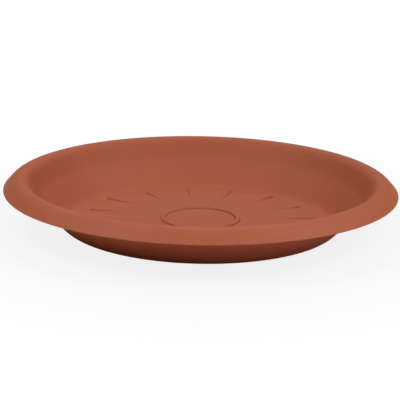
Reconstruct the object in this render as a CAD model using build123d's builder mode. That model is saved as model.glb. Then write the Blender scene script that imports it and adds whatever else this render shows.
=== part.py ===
from build123d import *
from math import asin, atan2, cos, degrees, hypot, radians, sin, tan
import os

# A round plastic plant saucer, moulded in one piece. Millimetres, +Z up.
# The origin is on the ground, on the saucer's axis.

# Overall
rim_radius = 200.0
height = 50.8
wall = 2.4

# Rim: a rolled crown with a skirt that falls to an upright edge
crown_inset = 16.5
crown_inner_radius = 12.0
crown_outer_radius = 14.4
edge_drop = 11.2
edge_face = 1.0
edge_round = 0.4

# Wall: steep above a soft bend, less steep below it
upper_wall_slope = 59.0
bend_drop = 20.4
bend_radius = 24.0

# Base: the wall rolls under to a flat foot ring, and the rest is recessed
base_inset = 70.0
base_corner_radius = 18.0
foot_width = 5.0

# Floor: crowned, so that spilt water runs to its edge
floor_height = 6.8
floor_fall = 3.0
floor_corner_radius = 15.6

# Ring on the floor
ring_radius = 38.2
ring_rise = 1.8
ring_width = 5.2
ring_side_run = 0.6
ring_round = 0.5

# Ribs on the floor: level tops, so that they fade out where the crowned floor rises to them.
# Every second rib stands further out.
rib_count = 16
rib_first_angle = 6.7
rib_end_inset = 10.5
rib_stagger = 7.0
rib_length = 50.0
rib_rise = 1.5
rib_width = 1.8
rib_draft = 12.0
rib_round = 0.4

# Gate mark under the middle of the floor
gate_well_radius = 7.0
gate_well_depth = 0.6
gate_pin_radius = 1.6
gate_pin_length = 0.4

crown_radius = rim_radius - crown_inset
edge_height = height - edge_drop
bend_height = height - bend_drop
base_radius = rim_radius - base_inset
foot_inner_radius = base_radius - foot_width
dome_radius = (base_radius**2 + floor_fall**2) / (2 * floor_fall)
rib_end_radius = base_radius - rib_end_inset


def touch(centre, radius, slope):
    """The point of a circle where its tangent has a slope. A negative radius takes the circle's upper side."""
    turn = radians(slope)
    return centre[0] + radius * sin(turn), centre[1] - radius * cos(turn)


def slope_from(point, centre, radius):
    """Slope of the line that touches a circle and ends at a point outside it."""
    across = point[0] - centre[0]
    rise = point[1] - centre[1]
    return degrees(atan2(rise, across) + asin(radius / hypot(across, rise)))


def bend(centre, radius, slope_in, slope_out):
    """An arc of a circle between two of its tangent slopes."""
    middle = (slope_in + slope_out) / 2
    ends = [touch(centre, radius, slope) for slope in (slope_in, middle, slope_out)]
    return ThreePointArc(*ends)


def slide(point, slope, level):
    """Where a line with a slope through a point reaches a level."""
    return point[0] + (level - point[1]) / tan(radians(slope)), level


def dome_slope(distance, radius):
    """Slope of a dome on the axis at a distance from the axis."""
    return -degrees(asin(distance / radius))


def floor_point(distance):
    """The crowned floor's top at a distance from the axis."""
    return touch(dome, -dome_radius, dome_slope(distance, dome_radius))


# Centres of the section's arcs
crown_inner = (crown_radius, height - crown_inner_radius)
crown_outer = (crown_radius, height - crown_outer_radius)
base_corner = (base_radius, base_corner_radius)
dome = (0, floor_height - dome_radius)
floor_slope = dome_slope(base_radius, dome_radius)
floor_corner = touch(floor_point(base_radius), -floor_corner_radius, floor_slope)

# Corners of the section, and the slopes of the straight lines between them
edge_top = (rim_radius, edge_height)
edge_bottom = (rim_radius, edge_height - edge_face)
skirt_slope = slope_from(edge_top, crown_outer, -crown_outer_radius)
wall_top = touch(crown_inner, -crown_inner_radius, upper_wall_slope)
wall_bend = slide(wall_top, upper_wall_slope, bend_height)
lower_wall_slope = slope_from(wall_bend, floor_corner, floor_corner_radius)
knee = (wall_bend[0] + wall / sin(radians(upper_wall_slope)), bend_height)
outer_wall_slope = slope_from(knee, base_corner, base_corner_radius)
skirt_top = touch(crown_outer, -crown_outer_radius, skirt_slope)
skirt_under = touch(crown_outer, wall - crown_outer_radius, skirt_slope)

# Corners of the ring and the top of the ribs
ring_inner = ring_radius - ring_width / 2
ring_outer = ring_radius + ring_width / 2
ring_top = floor_point(ring_radius)[1] + ring_rise
rib_top = floor_point(rib_end_radius)[1] + rib_rise

# One radial rib, drafted so that it leaves the mould
with BuildPart() as rib:
    with BuildSketch(Plane.XY.offset(rib_top)):
        with Locations((rib_end_radius - rib_length / 2, 0)):
            Rectangle(rib_length, rib_width)
    extrude(amount=-rib_top, taper=-rib_draft)
    fillet(rib.edges().group_by(Axis.Z)[-1], rib_round)

with BuildPart() as saucer:
    # Section of the shell, with the space under the floor still filled
    with BuildSketch(Plane.XZ):
        with BuildLine():
            bend(dome, -dome_radius, 0, dome_slope(ring_inner, dome_radius))
            FilletPolyline(
                floor_point(ring_inner),
                (ring_inner + ring_side_run, ring_top),
                (ring_outer - ring_side_run, ring_top),
                floor_point(ring_outer),
                radius=ring_round,
            )
            bend(dome, -dome_radius, dome_slope(ring_outer, dome_radius), floor_slope)
            bend(floor_corner, floor_corner_radius, floor_slope, lower_wall_slope)
            FilletPolyline(
                touch(floor_corner, floor_corner_radius, lower_wall_slope),
                wall_bend,
                wall_top,
                radius=bend_radius,
            )
            bend(crown_inner, -crown_inner_radius, upper_wall_slope, 0)
            bend(crown_outer, -crown_outer_radius, 0, skirt_slope)
            FilletPolyline(
                skirt_top,
                edge_top,
                edge_bottom,
                slide(skirt_under, skirt_slope, edge_bottom[1]),
                radius=edge_round,
            )
            Line(slide(skirt_under, skirt_slope, edge_bottom[1]), skirt_under)
            bend(crown_outer, wall - crown_outer_radius, skirt_slope, 0)
            bend(crown_inner, wall - crown_inner_radius, 0, upper_wall_slope)
            FilletPolyline(
                touch(crown_inner, wall - crown_inner_radius, upper_wall_slope),
                knee,
                touch(base_corner, base_corner_radius, outer_wall_slope),
                radius=bend_radius,
            )
            bend(base_corner, base_corner_radius, outer_wall_slope, 0)
            Polyline((base_radius, 0), (0, 0), (0, floor_height))
        make_face()
    revolve(axis=Axis.Z)

    # Ribs, in two staggered sets
    with PolarLocations(rib_stagger, rib_count // 2, rib_first_angle):
        add(rib.part)
    with PolarLocations(0, rib_count // 2, rib_first_angle + 360 / rib_count):
        add(rib.part)

    # Recess under the floor, inside the foot ring
    recess_slope = dome_slope(foot_inner_radius, dome_radius - wall)
    recess_end = touch(dome, wall - dome_radius, recess_slope)
    with BuildSketch(Plane.XZ):
        with BuildLine():
            bend(dome, wall - dome_radius, 0, recess_slope)
            Polyline(recess_end, (foot_inner_radius, 0), (0, 0), (0, floor_height - wall))
        make_face()
    revolve(axis=Axis.Z, mode=Mode.SUBTRACT)
    fillet(saucer.edges().filter_by(GeomType.CIRCLE).group_by(Axis.Z)[0].sort_by(SortBy.RADIUS)[0], edge_round)

    # Gate mark
    with BuildSketch(Plane.XY):
        Circle(gate_well_radius)
    extrude(amount=floor_height - wall + gate_well_depth, mode=Mode.SUBTRACT)
    with BuildSketch(Plane.XY.offset(floor_height - wall + gate_well_depth)):
        Circle(gate_pin_radius)
    extrude(amount=-gate_pin_length)

saucer.part.label = "saucer"

os.makedirs("parts", exist_ok=True)
export_step(saucer.part, "parts/saucer.step")

print("wall slopes", round(upper_wall_slope, 1), round(lower_wall_slope, 1), round(outer_wall_slope, 1))
print("skirt slope", round(skirt_slope, 1))
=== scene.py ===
from math import cos, radians, sin, tau

import bpy
from mathutils import Matrix, Vector

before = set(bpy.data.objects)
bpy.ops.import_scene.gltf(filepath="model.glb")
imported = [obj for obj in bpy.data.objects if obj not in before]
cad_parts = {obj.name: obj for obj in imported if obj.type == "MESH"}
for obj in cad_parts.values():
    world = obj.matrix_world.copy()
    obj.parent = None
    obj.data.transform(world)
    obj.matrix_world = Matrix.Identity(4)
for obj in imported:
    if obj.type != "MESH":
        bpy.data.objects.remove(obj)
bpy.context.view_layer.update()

# Camera: the photograph's low three-quarter view, in metres, degrees and millimetres of lens
camera_distance = 1.537
camera_elevation = 15.28
camera_roll = 1.10
camera_target = (-0.0007, 0.0, 0.0261)
camera_lens = 135.4
camera_sensor = 36.0

# Moulded plastic: linear colour, and the real sizes of its texture in metres
plastic_color = (0.468, 0.107, 0.0385)
plastic_roughness = 0.62
plastic_ior = 1.49
roughness_spread = 0.07
mottle_size = 0.06
mottle_share = 0.045
mottle_detail = 3.0
speckle_size = 0.0009
speckle_share = 0.05
speckle_detail = 1.0
flow_count = 70
flow_length = 0.12
flow_share = 0.04
flow_detail = 3.0
worn_height = 0.0497
worn_fade = 0.0010
worn_lift = 0.05
worn_polish = 0.05
foot_fade = 0.0016
patch_size = 0.03
patch_detail = 4.0
patch_start = 0.42
patch_end = 0.68
grain_size = 0.0007
grain_depth = 0.00003
grain_detail = 2.0
peel_size = 0.004
peel_depth = 0.00004
peel_detail = 1.0
axis_guard = 0.000001

# Floor: a pale square just under the foot ring. Its shading is mixed with plain white by the distance
# from the axis: the camera sees the shadow's share in full within its reach and none from its end, and
# mirrored rays see the floor itself before the mirror's start and white from its end.
floor_half = 4.0
floor_level = -0.0001
floor_color = (0.85, 0.85, 0.85, 1.0)
shadow_share = 0.15
shadow_reach = 0.22
shadow_end = 0.40
mirror_start = 0.6
mirror_end = 1.2

# World: its strength as light, and the rise over which its white for mirrored rays fades out
world_strength = 0.06
world_color = (1.0, 1.0, 1.0, 1.0)
sky_white_start = 0.0
sky_white_end = 0.15

# Softboxes: azimuth from the camera's side and elevation in degrees, distance and disk diameter in metres,
# and power in watts
lamps = {
    "right": (90, 48, 4.0, 2.6, 40),
    "back": (180, 48, 4.0, 2.6, 25),
    "left": (270, 48, 4.0, 2.6, 22),
    "front_right": (45, 48, 4.0, 2.6, 6.5),
    "front": (0, 48, 2.2, 1.5, 6),
    "near_left": (300, 48, 1.3, 0.8, 4.5),
    "low_right": (60, 30, 1.1, 0.8, 2.6),
}


def linked(name, data):
    """A new object in the scene."""
    thing = bpy.data.objects.new(name, data)
    bpy.context.scene.collection.objects.link(thing)
    return thing


def direction(azimuth, elevation):
    """Unit vector towards an azimuth, counted from the camera's side to its right, and an elevation."""
    turn, rise = radians(azimuth), radians(elevation)
    return Vector((sin(turn) * cos(rise), -cos(turn) * cos(rise), sin(rise)))


def place_camera():
    """The camera looks at the target from the distance, elevation and roll above."""
    elevation, roll = radians(camera_elevation), radians(camera_roll)
    back = direction(0, camera_elevation)
    level_right = Vector((1, 0, 0))
    level_up = Vector((0, sin(elevation), cos(elevation)))
    right = cos(roll) * level_right + sin(roll) * level_up
    up = cos(roll) * level_up - sin(roll) * level_right
    data = bpy.data.cameras.new("camera")
    data.lens = camera_lens
    data.sensor_width = camera_sensor
    camera = linked("camera", data)
    turn = Matrix((right, up, back)).transposed().to_4x4()
    camera.matrix_world = Matrix.Translation(Vector(camera_target) + camera_distance * back) @ turn
    bpy.context.scene.camera = camera


class Look:
    """The nodes of a material or world, with short ways to add them."""

    def __init__(self, owner, output="ShaderNodeOutputMaterial"):
        self.owner = owner
        owner.use_nodes = True
        self.tree = owner.node_tree
        self.tree.nodes.clear()
        self.output = self.add(output)

    def add(self, kind, **settings):
        """A new node of a kind."""
        node = self.tree.nodes.new(kind)
        for name, value in settings.items():
            setattr(node, name, value)
        return node

    def link(self, source, target):
        """A link from an output to an input."""
        self.tree.links.new(source, target)

    def math(self, operation, first, second):
        """One step of arithmetic on sockets or numbers."""
        node = self.add("ShaderNodeMath", operation=operation)
        for socket, value in zip(node.inputs, (first, second)):
            if isinstance(value, (int, float)):
                socket.default_value = value
            else:
                self.link(value, socket)
        return node.outputs[0]

    def noise(self, vector, size, detail):
        """Soft noise from 0 to 1 whose forms have a size in the vector's unit."""
        node = self.add("ShaderNodeTexNoise")
        node.inputs["Scale"].default_value = 1 / size
        node.inputs["Detail"].default_value = detail
        self.link(vector, node.inputs["Vector"])
        return node.outputs["Fac"]

    def spread(self, value, middle, reach):
        """A value around 0.5 spread around a middle."""
        node = self.add("ShaderNodeMapRange", clamp=False)
        self.link(value, node.inputs["Value"])
        node.inputs["To Min"].default_value = middle - reach
        node.inputs["To Max"].default_value = middle + reach
        return node.outputs["Result"]

    def ramp(self, value, start, end):
        """0 at the start and 1 at the end, smooth between them."""
        node = self.add("ShaderNodeMapRange", interpolation_type="SMOOTHSTEP")
        self.link(value, node.inputs["Value"])
        node.inputs["From Min"].default_value = start
        node.inputs["From Max"].default_value = end
        return node.outputs["Result"]

    def bump(self, height, depth, below=None):
        """A bump of a real depth, on top of another where one is given."""
        node = self.add("ShaderNodeBump")
        node.inputs["Distance"].default_value = depth
        self.link(height, node.inputs["Height"])
        if below is not None:
            self.link(below, node.inputs["Normal"])
        return node.outputs[0]

    def ray_kinds(self):
        """1 for rays from the camera, and 1 for rays that are mirrored or pass through something clear."""
        path = self.add("ShaderNodeLightPath")
        mirrored = self.math("MAXIMUM", path.outputs["Is Glossy Ray"], path.outputs["Is Transmission Ray"])
        return path.outputs["Is Camera Ray"], mirrored


def object_places(look):
    """The object's own coordinates in metres: the vector, its parts and the distance from the axis."""
    vector = look.add("ShaderNodeTexCoord").outputs["Object"]
    parts = look.add("ShaderNodeSeparateXYZ")
    look.link(vector, parts.inputs[0])
    x, y, z = parts.outputs
    square = look.math("ADD", look.math("MULTIPLY", x, x), look.math("MULTIPLY", y, y))
    distance = look.math("POWER", look.math("ADD", square, axis_guard), 0.5)
    return vector, x, y, z, distance


def terracotta_plastic():
    """Matt plastic in one colour: faint flow marks, mottling and grain, and a rubbed crest and foot."""
    look = Look(bpy.data.materials.new("terracotta_plastic_look"))
    vector, x, y, z, distance = object_places(look)

    # Flow marks run out from the gate: noise with a count of cells round the axis and a length outwards
    flow = look.add("ShaderNodeCombineXYZ")
    flow_radius = flow_count / tau
    look.link(look.math("MULTIPLY", look.math("DIVIDE", x, distance), flow_radius), flow.inputs[0])
    look.link(look.math("MULTIPLY", look.math("DIVIDE", y, distance), flow_radius), flow.inputs[1])
    look.link(look.math("DIVIDE", distance, flow_length), flow.inputs[2])
    streaks = look.noise(flow.outputs[0], 1.0, flow_detail)
    mottle = look.noise(vector, mottle_size, mottle_detail)
    speckle = look.noise(vector, speckle_size, speckle_detail)

    # Rubbed crest and foot
    patches = look.ramp(look.noise(vector, patch_size, patch_detail), patch_start, patch_end)
    crest = look.ramp(z, worn_height, worn_height + worn_fade)
    foot = look.ramp(z, foot_fade, 0.0)
    worn = look.math("MULTIPLY", look.math("MAXIMUM", crest, foot), patches)

    shade = look.spread(streaks, 1.0, flow_share)
    shade = look.math("MULTIPLY", shade, look.spread(mottle, 1.0, mottle_share))
    shade = look.math("MULTIPLY", shade, look.spread(speckle, 1.0, speckle_share))
    shade = look.math("MULTIPLY", shade, look.math("ADD", look.math("MULTIPLY", worn, worn_lift), 1.0))
    tint = look.add("ShaderNodeVectorMath", operation="SCALE")
    tint.inputs[0].default_value = plastic_color
    look.link(shade, tint.inputs["Scale"])

    roughness = look.math("ADD", look.spread(mottle, plastic_roughness, roughness_spread),
                          look.math("MULTIPLY", worn, -worn_polish))
    grain = look.bump(look.noise(vector, grain_size, grain_detail), grain_depth)
    peel = look.bump(look.noise(vector, peel_size, peel_detail), peel_depth, grain)

    shader = look.add("ShaderNodeBsdfPrincipled")
    look.link(tint.outputs[0], shader.inputs["Base Color"])
    look.link(roughness, shader.inputs["Roughness"])
    look.link(peel, shader.inputs["Normal"])
    shader.inputs["IOR"].default_value = plastic_ior
    look.link(shader.outputs[0], look.output.inputs["Surface"])
    return look.owner


def make_floor():
    """A pale floor. The camera sees it white, with a share of the saucer's shadow on it."""
    mesh = bpy.data.meshes.new("floor")
    square = [(-1, -1), (1, -1), (1, 1), (-1, 1)]
    corners = [(floor_half * x, floor_half * y, floor_level) for x, y in square]
    mesh.from_pydata(corners, [], [(0, 1, 2, 3)])
    floor = linked("floor", mesh)
    look = Look(bpy.data.materials.new("floor_look"))
    *_, distance = object_places(look)
    pale = look.add("ShaderNodeBsdfDiffuse")
    pale.inputs["Color"].default_value = floor_color
    white = look.add("ShaderNodeEmission")
    near = look.ramp(distance, shadow_end, shadow_reach)
    far = look.ramp(distance, mirror_start, mirror_end)
    straight, mirrored = look.ray_kinds()
    seen = look.math("SUBTRACT", 1.0, look.math("MULTIPLY", near, shadow_share))
    seen = look.math("MULTIPLY", straight, seen)
    whiteness = look.math("MAXIMUM", seen, look.math("MULTIPLY", mirrored, far))
    both = look.add("ShaderNodeMixShader")
    look.link(whiteness, both.inputs[0])
    look.link(pale.outputs[0], both.inputs[1])
    look.link(white.outputs[0], both.inputs[2])
    look.link(both.outputs[0], look.output.inputs["Surface"])
    mesh.materials.append(look.owner)


def make_world():
    """Faint even light from all around: white to the camera, and to mirrored rays near the horizon."""
    world = bpy.data.worlds.new("studio")
    look = Look(world, "ShaderNodeOutputWorld")
    parts = look.add("ShaderNodeSeparateXYZ")
    look.link(look.add("ShaderNodeTexCoord").outputs["Generated"], parts.inputs[0])
    low = look.ramp(parts.outputs["Z"], sky_white_end, sky_white_start)
    straight, mirrored = look.ray_kinds()
    whiteness = look.math("MAXIMUM", straight, look.math("MULTIPLY", mirrored, low))
    strength = look.add("ShaderNodeMapRange")
    look.link(whiteness, strength.inputs["Value"])
    strength.inputs["To Min"].default_value = world_strength
    background = look.add("ShaderNodeBackground")
    look.link(strength.outputs["Result"], background.inputs["Strength"])
    background.inputs["Color"].default_value = world_color
    look.link(background.outputs[0], look.output.inputs["Surface"])
    bpy.context.scene.world = world


def make_lamps():
    """The softboxes above, each facing the saucer."""
    for name, (azimuth, elevation, distance, size, power) in lamps.items():
        data = bpy.data.lights.new(name, "AREA")
        data.shape = "DISK"
        data.size = size
        data.energy = power
        lamp = linked(name, data)
        back = direction(azimuth, elevation)
        lamp.location = distance * back
        lamp.rotation_euler = back.to_track_quat("Z", "Y").to_euler()
        lamp.visible_camera = False


place_camera()
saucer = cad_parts["saucer"]
plastic = terracotta_plastic()
for slot in saucer.material_slots:
    slot.material = plastic
make_floor()
make_world()
make_lamps()
bpy.context.scene.view_settings.view_transform = "Standard"
